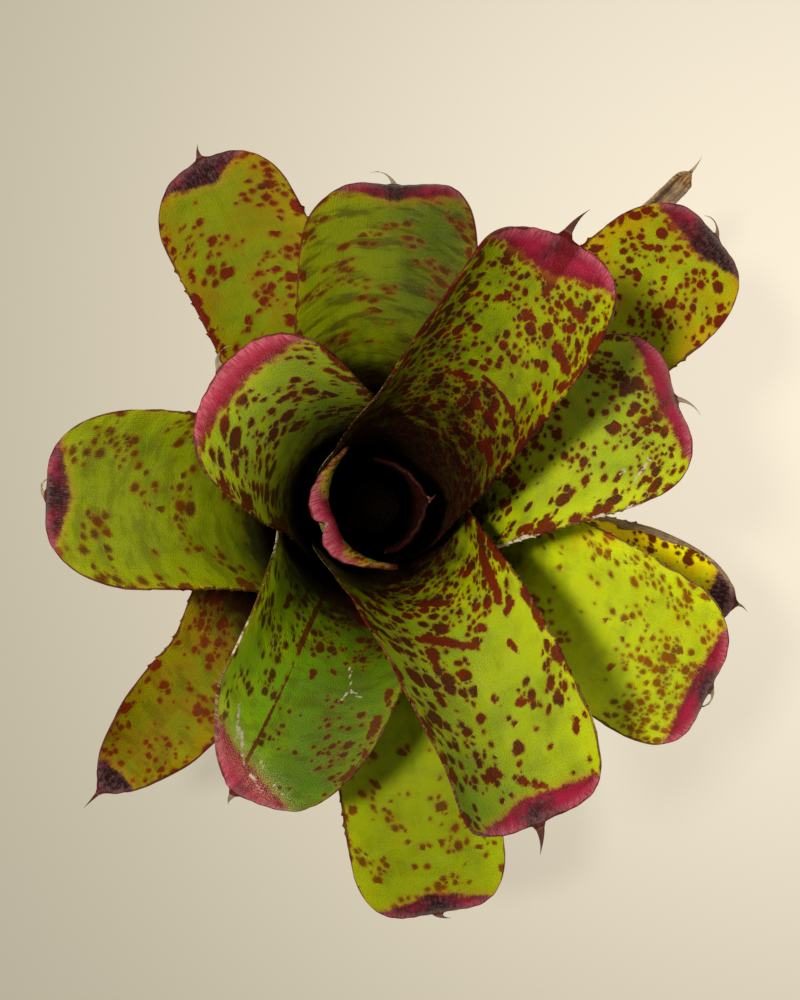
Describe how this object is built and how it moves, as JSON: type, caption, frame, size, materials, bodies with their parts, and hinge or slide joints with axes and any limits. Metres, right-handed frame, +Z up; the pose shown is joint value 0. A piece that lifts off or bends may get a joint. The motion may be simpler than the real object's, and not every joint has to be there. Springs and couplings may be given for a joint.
{
  "type": "neoregelia bromeliad",
  "caption": "Rosette bromeliad with a central tube and strap leaves that arch outwards, spotted maroon, with toothed edges and dark tips, on a short cut stem.",
  "frame": {"origin": "centre of the stem's flat cut foot", "axes": "+Z up along the rosette's axis; +X and +Y level, with the longest leaf arch over +X and +Y"},
  "size_m": [0.1452, 0.1604, 0.1187],
  "materials": {
    "leaf": "satin, chartreuse with maroon spots, dark margins and purple-black tips",
    "dry_leaf": "matt, withered brown",
    "stem": "matt, fibrous brown"
  },
  "bodies": {
    "root": {"stem": "stem", "leaf_01": "leaf", "leaf_02": "leaf", "leaf_03": "leaf", "leaf_04": "leaf", "leaf_05": "leaf", "leaf_06": "leaf", "leaf_07": "leaf", "leaf_08": "leaf", "leaf_09": "leaf", "leaf_10": "leaf", "leaf_11": "leaf", "leaf_12": "leaf", "leaf_13": "leaf", "leaf_14": "leaf", "leaf_15": "leaf", "leaf_16": "dry_leaf"}
  },
  "joints": []
}
